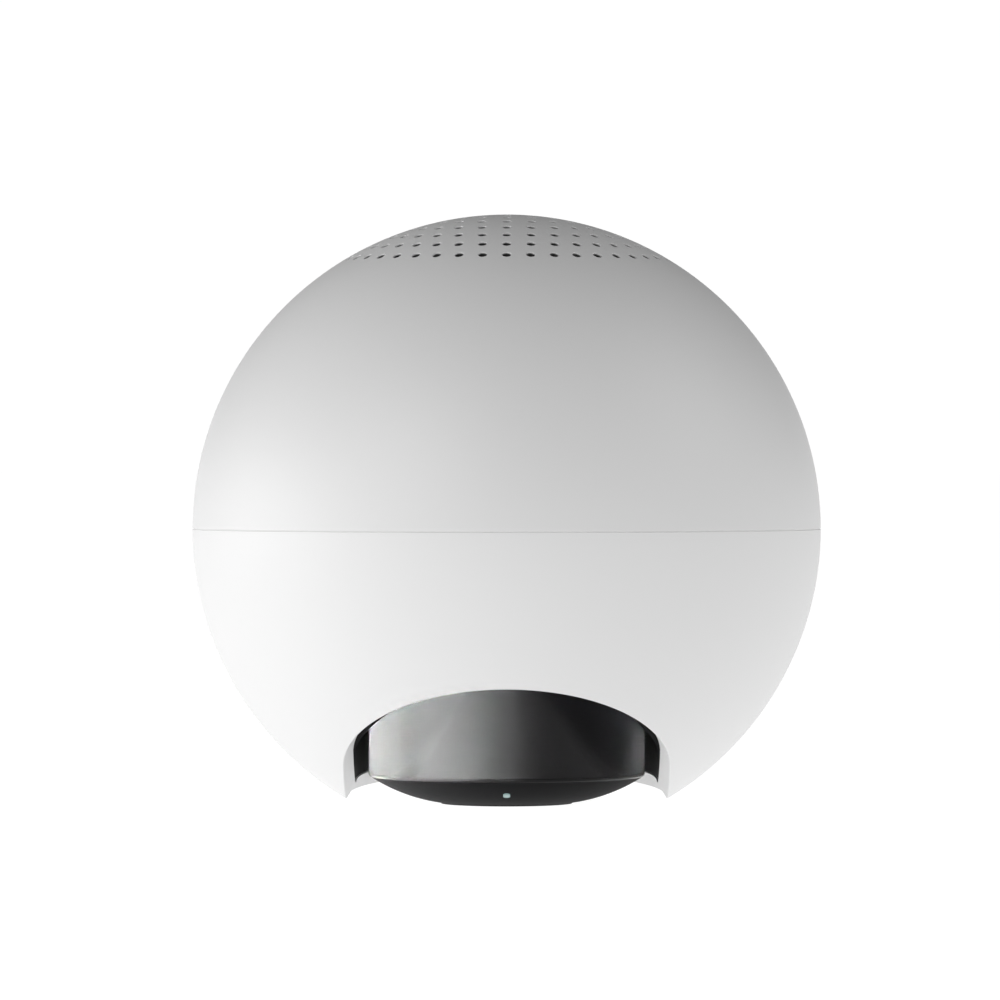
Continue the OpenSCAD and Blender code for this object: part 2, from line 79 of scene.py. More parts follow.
# %% Camera
CAMERA_AWAY = 21 * BALL_R
CAMERA_UP = 0.235 * BALL_R
VIEW_WIDTH = 3.187 * BALL_R
SENSOR = 36.0
aim = Vector((-0.0212 * BALL_R, 0, BALL_Z + 0.091 * BALL_R))
stand = Vector((0, -CAMERA_AWAY, BALL_Z + CAMERA_UP))
camera = bpy.data.objects.new("camera", bpy.data.cameras.new("camera"))
camera.data.sensor_width = SENSOR
camera.data.lens = SENSOR * CAMERA_AWAY / VIEW_WIDTH
camera.location = stand
camera.rotation_mode = "QUATERNION"
camera.rotation_quaternion = (aim - stand).to_track_quat("-Z", "Y")
bpy.context.scene.collection.objects.link(camera)
bpy.context.scene.camera = camera
print("lens %.0f mm" % camera.data.lens)

# %% [markdown]
# Node trees hold a lot of arithmetic. This small class wraps one socket, so that a formula can be
# written as Python and each operator adds its Math node. Graph.node makes every other node.

# %% A way to write node trees as formulas
class Number:
    """One number socket of a node tree, usable in Python arithmetic."""

    def __init__(self, graph, socket):
        self.graph = graph
        self.socket = socket

    def math(self, operation, *others):
        slots = dict(enumerate((self, *others)))
        return self.graph.node("ShaderNodeMath", {"operation": operation}, slots)

    def __add__(self, other):
        return self.math("ADD", other)

    def __sub__(self, other):
        return self.math("SUBTRACT", other)

    def __rsub__(self, other):
        return self.graph.node("ShaderNodeMath", {"operation": "SUBTRACT"}, {0: other, 1: self})

    def __mul__(self, other):
        return self.math("MULTIPLY", other)

    def __truediv__(self, other):
        return self.math("DIVIDE", other)

    __radd__ = __add__
    __rmul__ = __mul__


class Graph:
    """A node tree, with one method that makes a node from its settings and inputs."""

    def __init__(self, tree):
        self.tree = tree

    def feed(self, item, socket):
        if isinstance(item, Number):
            self.tree.links.new(item.socket, socket)
        else:
            socket.default_value = item

    def node(self, kind, settings=None, inputs=None, out=0):
        made = self.tree.nodes.new(kind)
        for name, setting in (settings or {}).items():
            if name == "stops":
                ramp = made.color_ramp.elements
                while len(ramp) < len(setting):
                    ramp.new(0.5)
                for element, (place, colour) in zip(ramp, setting):
                    element.position = place
                    element.color = (*colour, 1)
            else:
                setattr(made, name, setting)
        for slot, item in (inputs or {}).items():
            for one in item if isinstance(item, list) else [item]:
                self.feed(one, made.inputs[slot])
        return Number(self, made.outputs[out])


# %% [markdown]
# Every finish here starts from the same Principled shader. Constants go straight onto the
# shader's sockets, and only the values that change over a surface are linked.

# %% Helpers for finishes
def new_finish(name, colour, roughness, **constants):
    material = bpy.data.materials.new(name)
    material.use_nodes = True
    graph = Graph(material.node_tree)
    shader = material.node_tree.nodes["Principled BSDF"]
    shader.inputs["Base Color"].default_value = (*colour, 1)
    shader.inputs["Roughness"].default_value = roughness
    for socket, value in constants.items():
        shader.inputs[socket.replace("_", " ")].default_value = value
    return material, graph, shader


def object_noise(graph, scale, detail=2.0, roughness=0.5):
    place = graph.node("ShaderNodeTexCoord", out="Object")
    settings = {"Vector": place, "Scale": scale, "Detail": detail, "Roughness": roughness}
    return graph.node("ShaderNodeTexNoise", None, settings)


def mix_colours(graph, amount, first, second):
    settings = {"data_type": "RGBA"}
    inputs = {0: amount, 6: (*first, 1), 7: (*second, 1)}
    return graph.node("ShaderNodeMix", settings, inputs, out=2)


def bump_into(graph, shader, height, depth):
    inputs = {"Height": height, "Distance": depth, "Strength": 1.0}
    graph.feed(graph.node("ShaderNodeBump", None, inputs), shader.inputs["Normal"])


def moulded(name, colour, roughness, grain=1500.0, depth=4e-6, shade=0.04, spread=0.06,
            **constants):
    """Moulded plastic: fine spark-erosion grain, and slow drifts of colour and gloss."""
    material, graph, shader = new_finish(name, colour, roughness, **constants)
    fine = object_noise(graph, grain, 3.0)
    slow = object_noise(graph, 45.0, 2.0)
    darker = tuple(c * (1 - shade) for c in colour)
    graph.feed(mix_colours(graph, slow, darker, colour), shader.inputs["Base Color"])
    gloss = roughness + (fine - 0.5) * spread + (slow - 0.5) * spread
    graph.feed(gloss, shader.inputs["Roughness"])
    bump_into(graph, shader, fine, depth)
    return material


# %% [markdown]
# The ball is moulded in white plastic with a fine satin grain. The lower shell comes from its own
# mould and reads a touch lighter, which is what makes the joint at the equator show. The upper
# shell has painted shade in its sound holes: below its skin its colour turns dark, so the hole
# walls read as dark dots. The shader finds the depth below the ball's surface, on Object
# coordinates.

# %% Finish of the upper shell
def white_with_painted_hole_shade(name, colour, roughness, painted_hole_shade, first, last):
    material, graph, shader = new_finish(name, colour, roughness)
    fine = object_noise(graph, 1500.0, 3.0)
    place = graph.node("ShaderNodeTexCoord", out="Object")
    away = graph.node(
        "ShaderNodeVectorMath", {"operation": "DISTANCE"}, {0: place, 1: (0, 0, BALL_Z)},
        out="Value",
    )
    depth = BALL_R - away
    inside = graph.node(
        "ShaderNodeMapRange", {"interpolation_type": "SMOOTHSTEP"},
        {"Value": depth, "From Min": first, "From Max": last},
    )
    # Painted shade: the colour darkens with depth below the skin, so the hole walls read dark.
    graph.feed(mix_colours(graph, inside, colour, painted_hole_shade), shader.inputs["Base Color"])
    graph.feed(roughness + (fine - 0.5) * 0.06 + inside * 0.3, shader.inputs["Roughness"])
    bump_into(graph, shader, fine, 4e-6)
    return material


# %% Finishes of the outside
finishes = {}
# The upper shell's dark colour below its skin is painted shade in the sound holes.
finishes["shell_white"] = white_with_painted_hole_shade(
    "satin_white_upper", (0.705, 0.705, 0.705), 0.48, (0.035, 0.035, 0.035), 0.1 * MM, 0.35 * MM
)
finishes["shell_lower"] = moulded("satin_white_lower", (0.742, 0.742, 0.742), 0.48, shade=0.012)
finishes["well_black"] = moulded(
    "matt_black_well", (0.003, 0.003, 0.0033), 0.7, 900.0, 2e-5, Specular_IOR_Level=0.12
)
finishes["bay_plastic"] = moulded("textured_bay", (0.022, 0.022, 0.024), 0.55, 900.0, 2e-5)
finishes["gloss_black"] = moulded(
    "polished_black", (0.0004, 0.0004, 0.00045), 0.22, 300.0, 2e-7, spread=0.03,
    Specular_IOR_Level=0.15,
)
finishes["dish_black"] = moulded(
    "matt_black_dish", (0.0007, 0.0007, 0.0008), 0.6, 900.0, 4e-6, IOR=1.1
)
finishes["foot_rubber"] = moulded("foot_rubber", (0.02, 0.02, 0.021), 0.85, 700.0, 4e-5, 0.2)
finishes["button_grey"] = moulded("button_grey", (0.35, 0.35, 0.36), 0.45)
finishes["slider_orange"] = moulded("slider_orange", (0.75, 0.16, 0.03), 0.45)

# %% [markdown]
# The status light is a clear plug lit from inside. It glows most in its middle, so its emission
# fades towards the ends of the slot.

# %% Finish of the status light
LENS_TINT = (0.02, 0.04, 0.04)
GLOW_MIDDLE = (0.78, 1.0, 0.97)
GLOW_END = (0.18, 0.36, 0.34)


def lit_lens(name, strength):
    material, graph, shader = new_finish(name, LENS_TINT, 0.25, Emission_Strength=strength)
    middle = (LENS_LOW + LENS_HIGH) / 2
    place = graph.node("ShaderNodeTexCoord", out="Object")
    length = (LENS_HIGH.y - LENS_LOW.y) / 2
    apart = graph.node(
        "ShaderNodeVectorMath", {"operation": "DISTANCE"},
        {0: place, 1: (middle.x, middle.y, LENS_LOW.z)}, out="Value",
    )
    ramp = graph.node(
        "ShaderNodeValToRGB", {"stops": [(0.0, GLOW_MIDDLE), (1.0, GLOW_END)]},
        {"Fac": apart / length},
    )
    graph.feed(ramp, shader.inputs["Emission Color"])
    return material


finishes["lens_teal"] = lit_lens("lit_teal", 0.45)

# %% [markdown]
# Inside, each part gets the finish of its trade: glass-fibre boards, zinc-plated steel, ferrite,
# copper wire, paper pulp and woven cloth. The metals' grain runs along the height, and copper
# wire's is stretched the most.

# %% Finishes of the inside
def metal(name, colour, roughness, grain=400.0, streak=8.0):
    material, graph, shader = new_finish(name, colour, roughness, Metallic=1.0)
    place = graph.node("ShaderNodeTexCoord", out="Object")
    stretched = graph.node("ShaderNodeMapping", None, {"Vector": place, "Scale": (1, 1, streak)})
    inputs = {"Vector": stretched, "Scale": grain, "Detail": 3.0}
    brush = graph.node("ShaderNodeTexNoise", None, inputs)
    dull = tuple(c * 0.88 for c in colour)
    graph.feed(mix_colours(graph, brush, dull, colour), shader.inputs["Base Color"])
    graph.feed(roughness + (brush - 0.5) * 0.15, shader.inputs["Roughness"])
    bump_into(graph, shader, brush, 3e-6)
    return material


def woven(name, colour, pitch, depth):
    """Cloth: two sets of threads that cross, from sine waves on the object's own axes; dips get
    painted shade.
    """
    material, graph, shader = new_finish(name, colour, 0.9)
    place = graph.node("ShaderNodeTexCoord", out="Object")
    turns = 2 * math.pi / pitch
    warp, weft = (
        (graph.node("ShaderNodeSeparateXYZ", None, {0: place}, out=axis) * turns).math("SINE")
        for axis in "XY"
    )
    over = warp * weft
    raised = over * 0.5 + 0.5
    # Painted shade: where the weave dips, its colour is darkened to 45 per cent.
    painted_dip_shade = tuple(c * 0.45 for c in colour)
    graph.feed(mix_colours(graph, raised, painted_dip_shade, colour), shader.inputs["Base Color"])
    bump_into(graph, shader, raised, depth)
    return material


def circuit_board(name, colour):
    """Solder mask over copper tracks: a blocky cell pattern raises the lines a little."""
    material, graph, shader = new_finish(name, colour, 0.35)
    place = graph.node("ShaderNodeTexCoord", out="Object")
    inputs = {"Vector": place, "Scale": 420.0}
    settings = {"distance": "MANHATTAN", "feature": "F1"}
    cells = graph.node("ShaderNodeTexVoronoi", settings, inputs, out="Distance")
    ramp = graph.node(
        "ShaderNodeValToRGB",
        {"stops": [(0.45, (0, 0, 0)), (0.55, (1, 1, 1))]}, {"Fac": cells},
    )
    tracks = graph.node("ShaderNodeRGBToBW", None, {"Color": ramp})
    lighter = tuple(min(1.0, c * 1.6) for c in colour)
    graph.feed(mix_colours(graph, tracks, colour, lighter), shader.inputs["Base Color"])
    bump_into(graph, shader, tracks, 2e-5)
    return material


finishes["mesh_cloth"] = woven("acoustic_cloth", (0.10, 0.10, 0.10), 0.35 * MM, 4e-5)
finishes["spider_cloth"] = woven("stiffened_cloth", (0.60, 0.40, 0.12), 0.5 * MM, 4e-5)
finishes["board_green"] = circuit_board("solder_mask_green", (0.01, 0.09, 0.035))
finishes["screw_steel"] = metal("nickel_screw", (0.62, 0.62, 0.60), 0.28)
finishes["zinc_steel"] = metal("zinc_plate", (0.60, 0.61, 0.63), 0.32)
finishes["mic_gold"] = metal("gold_plate", (0.83, 0.62, 0.28), 0.25)
finishes["coil_copper"] = metal("copper_wire", (0.80, 0.36, 0.16), 0.35, 200.0, 60.0)
finishes["magnet_ferrite"] = moulded("ferrite", (0.05, 0.05, 0.052), 0.6, 500.0, 4e-5, 0.3)
finishes["basket_steel"] = moulded("painted_basket", (0.02, 0.02, 0.021), 0.4, 600.0, 2e-5)
finishes["baffle_plastic"] = moulded("baffle_plastic", (0.05, 0.05, 0.055), 0.6, 500.0, 3e-5)
finishes["gasket_foam"] = moulded("gasket_foam", (0.02, 0.02, 0.02), 0.95, 900.0, 1e-4, 0.4)
finishes["roll_rubber"] = moulded("roll_rubber", (0.015, 0.015, 0.015), 0.5, 600.0, 1e-5)
finishes["cone_paper"] = moulded("pressed_paper", (0.05, 0.05, 0.05), 0.9, 350.0, 8e-5, 0.35)
finishes["chip_black"] = moulded("chip_epoxy", (0.02, 0.02, 0.02), 0.55, 900.0, 1e-5)
finishes["led_white"] = moulded("led_resin", (0.85, 0.85, 0.80), 0.3)
print("finishes:", len(finishes))

# %% [markdown]
# The CAD nodes that keep their shape get these finishes by their material slot in the record.

# %% Dress the CAD nodes
slot_of = {row["node"]: row["material_slot"] for row in frame["record"]["subparts"]}


def dress(thing, material):
    thing.data.materials.clear()
    thing.data.materials.append(material)


for name, thing in nodes.items():
    dress(thing, finishes[slot_of[name]])

# %% [markdown]
# Round parts are turned: a profile of radius and height is carried once round the axis. The
# profile is closed, so the result is a solid and a Boolean can cut it cleanly.

# %% Turning a profile
TURNS = 256


def arc(radius, first, last, steps, centre=(0.0, 0.0)):
    """Points of an arc. Angles are in degrees from the horizontal."""
    points = []
    for i in range(steps + 1):
        a = math.radians(first + (last - first) * i / steps)
        points.append((centre[0] + radius * math.cos(a), centre[1] + radius * math.sin(a)))
    return points


def new_piece(name, mesh):
    piece = bpy.data.objects.new(name, mesh)
    bpy.context.scene.collection.objects.link(piece)
    return piece


def as_piece(name, shape):
    """Turns a finished bmesh into a piece, with its faces pointing outwards."""
    bmesh.ops.recalc_face_normals(shape, faces=shape.faces)
    mesh = bpy.data.meshes.new(name)
    shape.to_mesh(mesh)
    shape.free()
    return new_piece(name, mesh)


def turned(name, profile, up=0.0, turns=TURNS):
    """A solid of revolution from a closed profile of (radius, height) points."""
    shape = bmesh.new()
    rings = []
    for radius, height in profile:
        if radius < 1e-7:
            rings.append([shape.verts.new((0, 0, height + up))])
            continue
        ring = []
        for i in range(turns):
            a = 2 * math.pi * i / turns
            ring.append(shape.verts.new((radius * math.cos(a), radius * math.sin(a), height + up)))
        rings.append(ring)
    for ring, following in zip(rings, rings[1:] + rings[:1]):
        for i in range(turns):
            j = (i + 1) % turns
            corners = [ring[i % len(ring)], ring[j % len(ring)]]
            corners += [following[j % len(following)], following[i % len(following)]]
            corners = list(dict.fromkeys(corners))
            if len(corners) > 2:
                shape.faces.new(corners)
    return as_piece(name, shape)


def skinned(name, rings, triangulated=False):
    """A closed solid: walls between following rings of points, and a lid at each end."""
    shape = bmesh.new()
    levels = [[shape.verts.new(point) for point in ring] for ring in rings]
    for ring, following in zip(levels, levels[1:]):
        for i in range(len(ring)):
            j = (i + 1) % len(ring)
            shape.faces.new((ring[i], ring[j], following[j], following[i]))
    shape.faces.new(levels[0])
    shape.faces.new(levels[-1])
    if triangulated:
        bmesh.ops.triangulate(shape, faces=[f for f in shape.faces if len(f.verts) > 4])
    return as_piece(name, shape)


# %% [markdown]
# A Boolean leaves long thin faces, and smooth shading on them would show as smears. The ball's
# true normal is known: it points away from the centre. So after each cut the faces that lie on a
# sphere get that normal, and sharp edges keep the rest crisp.

# %% Finishing a mesh
SHARP = math.radians(28)
SKIN = 3e-6


def finish_mesh(piece, material, centre=None, radii=()):
    mesh = piece.data
    mesh.materials.clear()
    mesh.materials.append(material)
    mesh.shade_smooth()
    mesh.set_sharp_from_angle(angle=SHARP)
    if centre is not None:
        away = [vertex.co - centre for vertex in mesh.vertices]
        level = [round_skin(v.length, radii) for v in away]
        normals = [Vector((0, 0, 0))] * len(mesh.loops)
        for face in mesh.polygons:
            on = {level[v] for v in face.vertices}
            if len(on) == 1 and None not in on:
                side = 1 if face.normal.dot(face.center - centre) > 0 else -1
                for corner in face.loop_indices:
                    normals[corner] = side * away[mesh.loops[corner].vertex_index].normalized()
        mesh.normals_split_custom_set(normals)
    print(piece.name, len(mesh.polygons), "faces")
    return piece


def round_skin(length, radii):
    for radius in radii:
        if abs(length - radius) < SKIN:
            return radius
    return None


def cut(piece, *cutters):
    """Cuts the cutters away from a piece, and removes them."""
    for cutter in cutters:
        modifier = piece.modifiers.new("cut", "BOOLEAN")
        modifier.operation = "DIFFERENCE"
        modifier.solver = "EXACT"
        modifier.object = cutter
    plain(piece)
    for cutter in cutters:
        bpy.data.objects.remove(cutter)
    return piece


def plain(piece):
    """Turns a piece with modifiers into a plain mesh."""
    seen = piece.evaluated_get(bpy.context.evaluated_depsgraph_get())
    mesh = bpy.data.meshes.new_from_object(seen)
    piece.modifiers.clear()
    piece.data = mesh
    return piece


# %% [markdown]
# The upper shell is a half ball with a rabbet that sits over the lower shell's tongue. A bevel
# about a tenth of a millimetre wide breaks the edge at the joint, as a mould does.

# %% Upper shell, before its holes
EDGE = 0.12 * MM
TONGUE_H = 1.8 * MM
STEPS = 96
edge_angle = math.degrees(EDGE / BALL_R)
profile = [(BALL_R - EDGE, 0.0)]
profile += arc(BALL_R, edge_angle, 90, STEPS)[:-1] + [(0.0, BALL_R)]
profile += [(0.0, BALL_RI)] + arc(BALL_RI, 90, math.degrees(TONGUE_H / BALL_RI), STEPS)[1:]
profile += [(BALL_RI + WALL / 2, TONGUE_H + FIT), (BALL_RI + WALL / 2, 0.0)]
upper = turned("upper_shell", profile, BALL_Z)
print("upper shell:", len(upper.data.polygons), "faces before drilling")

# %% [markdown]
# The crown is drilled with a hole in the middle and seven rings round it. Each ring has six holes
# more than the one inside it. A Geometry Nodes tree works out the ring of each point from its
# number alone, so one formula places all the holes, and one Boolean drills them.

# %% One countersunk drill
HOLE_R = 0.7 * MM
SINK = 0.06 * MM
DRILL_SIDES = 20
DRILL_DEPTH = 1.6 * WALL
drill_profile = [(0.0, -DRILL_DEPTH), (HOLE_R, -DRILL_DEPTH), (HOLE_R, -SINK)]
drill_profile += [(HOLE_R + SINK, 0.0), (HOLE_R + 3 * SINK, 2 * SINK), (0.0, 2 * SINK)]
drill = turned("drill", drill_profile, 0.0, DRILL_SIDES)


# %% The drilling tree
def new_tree(name, inputs):
    tree = bpy.data.node_groups.new(name, "GeometryNodeTree")
    tree.interface.new_socket("Geometry", in_out="OUTPUT", socket_type="NodeSocketGeometry")
    made = {}
    for label, kind in inputs.items():
        socket = tree.interface.new_socket(label, in_out="INPUT", socket_type="NodeSocket" + kind)
        made[label] = socket.identifier
    graph = Graph(tree)
    source = tree.nodes.new("NodeGroupInput")
    given = {label: Number(graph, source.outputs[label]) for label in inputs}
    return tree, graph, given, made


def end_tree(graph, geometry, material):
    real = graph.node("GeometryNodeRealizeInstances", None, {"Geometry": geometry})
    done = graph.node("GeometryNodeSetMaterial", None, {"Geometry": real, "Material": material})
    exit_node = graph.tree.nodes.new("NodeGroupOutput")
    graph.feed(done, exit_node.inputs["Geometry"])


def run_tree(piece, tree, sockets, values):
    modifier = piece.modifiers.new(tree.name, "NODES")
    modifier.node_group = tree
    for label, value in values.items():
        modifier[sockets[label]] = value
    return plain(piece)


def ring_place(graph, given, number):
    """Rotation and place of hole number i: its ring, its turn in the ring and its tilt."""
    gain = given["Ring gain"]
    half = 1 - gain * 0.5
    ring = (((half * half + gain * 2 * number).math("SQRT") - half) / gain + 1e-4).math("FLOOR")
    before = gain * ring * (ring - 1) * 0.5 + ring
    share = (number - before) / (gain * ring + 1)
    turn = share * (2 * math.pi) - math.pi / 2
    tilt = ring.math("GREATER_THAN", 0.5) * (given["First angle"] + ring * given["Ring angle"])
    euler = graph.node("ShaderNodeCombineXYZ", None, {1: tilt, 2: turn})
    rotation = graph.node("FunctionNodeEulerToRotation", None, {0: euler})
    out = graph.node("ShaderNodeCombineXYZ", None, {2: given["Ball radius"]})
    turned_out = graph.node("FunctionNodeRotateVector", None, {0: out, 1: rotation})
    centre = graph.node("ShaderNodeCombineXYZ", None, {2: given["Ball height"]})
    place = graph.node("ShaderNodeVectorMath", {"operation": "ADD"}, {0: turned_out, 1: centre})
    return rotation, place


CROWN_RINGS = 7
RING_GAIN = 6.0
FIRST_ANGLE = math.radians(1.35)
RING_ANGLE = math.radians(4.22)
tree, graph, given, sockets = new_tree("drill_crown", {
    "Shell": "Geometry", "Drill": "Object", "Material": "Material", "Rings": "Int",
    "Ring gain": "Float", "First angle": "Float", "Ring angle": "Float",
    "Ball radius": "Float", "Ball height": "Float",
})
rings = given["Rings"]
count = given["Ring gain"] * rings * (rings + 1) * 0.5 + rings + 1
points = graph.node("GeometryNodePoints", None, {"Count": count})
rotation, place = ring_place(graph, given, graph.node("GeometryNodeInputIndex"))
placed = graph.node("GeometryNodeSetPosition", None, {"Geometry": points, "Position": place})
tool = graph.node("GeometryNodeObjectInfo", None, {"Object": given["Drill"]}, out="Geometry")
drills = graph.node(
    "GeometryNodeInstanceOnPoints", None, {"Points": placed, "Instance": tool, "Rotation": rotation}
)
solid = graph.node("GeometryNodeRealizeInstances", None, {"Geometry": drills})
drilled = graph.node(
    "GeometryNodeMeshBoolean", {"operation": "DIFFERENCE", "solver": "EXACT"},
    {"Mesh 1": given["Shell"], "Mesh 2": solid},
)
end_tree(graph, drilled, given["Material"])
run_tree(upper, tree, sockets, {
    "Drill": drill, "Material": finishes["shell_white"], "Rings": CROWN_RINGS,
    "Ring gain": RING_GAIN, "First angle": FIRST_ANGLE, "Ring angle": RING_ANGLE,
    "Ball radius": BALL_R, "Ball height": BALL_Z,
})
bpy.data.objects.remove(drill)
centre = Vector((0, 0, BALL_Z))
finish_mesh(upper, finishes["shell_white"], centre, (BALL_R, BALL_RI))

# %% [markdown]
# The lower shell is the other half ball. Its mouth is a slot with round ends drawn on the ball:
# each edge point is a direction from the centre, so the cut faces stand square to the surface.

# %% Lower shell
MOUTH_R = 25.5 * MM
MOUTH_FRONT_H = 19.6 * MM
MOUTH_REAR_H = 3.35 * MM
MOUTH_HALF = math.asin(MOUTH_R / BALL_R)
MOUTH_FRONT = math.acos((BALL_Z - MOUTH_FRONT_H) / BALL_R) - MOUTH_HALF
MOUTH_REAR = math.acos((BALL_Z - MOUTH_REAR_H) / BALL_R) - MOUTH_HALF
MOUTH_EDGE = 0.1 * MM
ROUND_STEPS = 64
SIDE_STEPS = 16


def tipped(angle):
    """The direction that leans forward from straight down by an angle."""
    return Vector((0, -math.sin(angle), -math.cos(angle)))


def mouth_outline(half):
    """Directions round the mouth's edge, seen from the ball's centre."""
    outline = []
    for lean, sense in ((MOUTH_FRONT, 1), (-MOUTH_REAR, -1)):
        axis = tipped(lean)
        ahead = sense * tipped(lean + math.pi / 2)
        for i in range(ROUND_STEPS + 1):
            b = math.pi * (i / ROUND_STEPS - 0.5) * sense
            side = Vector((math.sin(b), 0, 0)) + ahead * math.cos(b)
            outline.append(axis * math.cos(half) + side * math.sin(half))
    return outline


def mouth_cutter():
    levels = [(0.85 * BALL_RI, 0.0), (BALL_R - MOUTH_EDGE, 0.0)]
    levels += [(BALL_R + MOUTH_EDGE, 2 * MOUTH_EDGE), (1.7 * BALL_R, 2 * MOUTH_EDGE)]
    rings = []
    for radius, spread in levels:
        outline = mouth_outline(MOUTH_HALF + spread / BALL_R)
        rings.append([centre + d * radius for d in side_points(outline)])
    return skinned("mouth_cutter", rings, triangulated=True)


def side_points(outline):
    """Fills the straight sides of the outline, which follow circles of constant width."""
    count_half = len(outline) // 2
    filled = []
    for start in (0, count_half):
        run = outline[start:start + count_half]
        following = outline[(start + count_half) % len(outline)]
        filled += run
        last = run[-1]
        for i in range(1, SIDE_STEPS):
            mid = last.lerp(following, i / SIDE_STEPS)
            flat = Vector((0, mid.y, mid.z)).normalized()
            filled.append(Vector((last.x, 0, 0)) + flat * math.sqrt(1 - last.x ** 2))
    return filled


# %% [markdown]
# At the back a window takes the plug bay. Its cutter is a bar with rounded corners, whose outline
# is four arcs in the XZ plane.

# %% The window for the plug bay
def rounded_outline(half_w, half_h, radius, steps=10):
    points = []
    corners = ((1, 1, 0), (-1, 1, 90), (-1, -1, 180), (1, -1, 270))
    for sx, sz, first in corners:
        middle = (sx * (half_w - radius), sz * (half_h - radius))
        points += arc(radius, first, first + 90, steps, middle)
    return points


def bar(name, outline, middle_z, y0, y1):
    """A straight bar along Y on an outline seen from the back."""
    return skinned(name, [[(x, y, middle_z + z) for x, z in outline] for y in (y0, y1)])


bezel_low, bezel_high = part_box("port_bezel")
BAY_Z = (bezel_low.z + bezel_high.z) / 2
BAY_HALF_W = bezel_high.x
BAY_HALF_H = (bezel_high.z - bezel_low.z) / 2
BAY_CORNER = 4 * MM
window = rounded_outline(BAY_HALF_W + FIT, BAY_HALF_H + FIT, BAY_CORNER + FIT)
window_bar = bar("window", window, BAY_Z, bezel_low.y - 3 * MM, 1.1 * BALL_R)

inner = arc(BALL_RI, -90, 0, STEPS)[1:-1]
profile = [(0.0, -BALL_R)] + arc(BALL_R, -90, -edge_angle, STEPS)[1:]
profile += [(BALL_R - EDGE, 0.0), (BALL_RI + WALL / 2 - FIT, 0.0)]
profile += [(BALL_RI + WALL / 2 - FIT, TONGUE_H), (BALL_RI, TONGUE_H), (BALL_RI, 0.0)]
profile += inner[::-1] + [(0.0, -BALL_RI)]
lower = turned("lower_shell", profile, BALL_Z)
cut(lower, mouth_cutter(), window_bar)
finish_mesh(lower, finishes["shell_lower"], centre, (BALL_R, BALL_RI))

# %% [markdown]
# The pedestal is a polished drum on a shallow dish. The dish's side is a large arc whose middle
# lies off the axis, flat where the rubber foot sits, and a small round joins it to the drum. Both
# are turned from profiles, because everything about them is round.

# %% Drum
DRUM_WALL = 1.8 * MM
DISH_R = 27 * MM
DISH_IN = 7 * MM
DISH_CORNER = 0.3 * MM
FOOT_PROUD = 0.15 * MM
FOOT_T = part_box("foot_pad")[1].z
POCKET_R = FOOT_R + FIT / 2
DISH_Z = FOOT_PROUD + math.sqrt(DISH_R ** 2 - (POCKET_R - DISH_IN) ** 2)

DRUM_BEVEL = 0.08 * MM
drum_profile = [(DRUM_R - DRUM_BEVEL, DRUM_LOW), (DRUM_R, DRUM_LOW + DRUM_BEVEL)]
drum_profile += [(DRUM_R, DRUM_TOP), (0.0, DRUM_TOP), (0.0, DRUM_TOP - DRUM_WALL)]
drum_profile += [(DRUM_R - DRUM_WALL, DRUM_TOP - DRUM_WALL), (DRUM_R - DRUM_WALL, DRUM_LOW)]
drum = turned("pedestal_drum", drum_profile)
finish_mesh(drum, finishes["gloss_black"])


# %% Dish
def dish_level(radius, wall=0.0):
    """Height of the dish's side at a radius, moved inwards by a wall."""
    return DISH_Z - math.sqrt((DISH_R - wall) ** 2 - max(0.0, radius - DISH_IN) ** 2)


def steps_between(first, last, count):
    return [first + (last - first) * i / count for i in range(count + 1)]


outside = [(r, dish_level(r)) for r in steps_between(POCKET_R, DRUM_R - DISH_CORNER, 48)]
start, knee, end = outside[-1], (DRUM_R, dish_level(DRUM_R)), (DRUM_R, DRUM_LOW)
corner = []
for t in steps_between(0.0, 1.0, 12)[1:]:
    weights = ((1 - t) ** 2, 2 * t * (1 - t), t * t)
    corner.append(tuple(sum(w * p[k] for w, p in zip(weights, (start, knee, end))) for k in (0, 1)))
SPIGOT_OUT = DRUM_R - DRUM_WALL - FIT / 2
SPIGOT_T = 1.4 * MM
SPIGOT_H = 3 * MM
SPIGOT_IN = SPIGOT_OUT - SPIGOT_T
SPIGOT_TOP = DRUM_LOW + SPIGOT_H
BOSS_WALL = 1.6 * MM
BOSS_H = 2 * MM
BOSS_R = POCKET_R + BOSS_WALL
BOSS_TOP = FOOT_PROUD + BOSS_H
inside = [(r, dish_level(r, DRUM_WALL)) for r in steps_between(SPIGOT_IN, BOSS_R, 24)]
dish_profile = [(POCKET_R, FOOT_T)] + outside + corner
dish_profile += [(SPIGOT_OUT, DRUM_LOW), (SPIGOT_OUT, SPIGOT_TOP), (SPIGOT_IN, SPIGOT_TOP)]
dish_profile += inside + [(BOSS_R - 0.1 * MM, BOSS_TOP), (0.0, BOSS_TOP), (0.0, FOOT_T)]
dish = turned("pedestal_dish", dish_profile)
print("dish edge %.2f mm, foot boss top %.2f mm" % (dish_level(DRUM_R) / MM, BOSS_TOP / MM))

# %% [markdown]
# The status light shines out of the dish through a slot with round ends. The cutter is a straight
# column on that outline.

# %% Slot for the status light
LENS_R = (LENS_HIGH.x - LENS_LOW.x) / 2
LENS_Y = (LENS_LOW.y + LENS_HIGH.y) / 2
LENS_RUN = (LENS_HIGH.y - LENS_LOW.y) / 2 - LENS_R


def lens_outline(grow):
    radius = LENS_R + grow
    front = arc(radius, 180, 360, 16, (0, LENS_Y - LENS_RUN))
    back = arc(radius, 0, 180, 16, (0, LENS_Y + LENS_RUN))
    return front + back


def upright(name, outline, z0, z1):
    """A straight column on an outline seen from above."""
    return skinned(name, [[(x, y, z) for x, y in outline] for z in (z0, z1)])


cut(dish, upright("slot", lens_outline(FIT / 2), -1 * MM, DRUM_LOW))
finish_mesh(dish, finishes["dish_black"])
dish.data.materials.append(finishes["gloss_black"])
for face in dish.data.polygons:
    if math.hypot(face.center.x, face.center.y) > DRUM_R - DISH_CORNER:
        face.material_index = 1
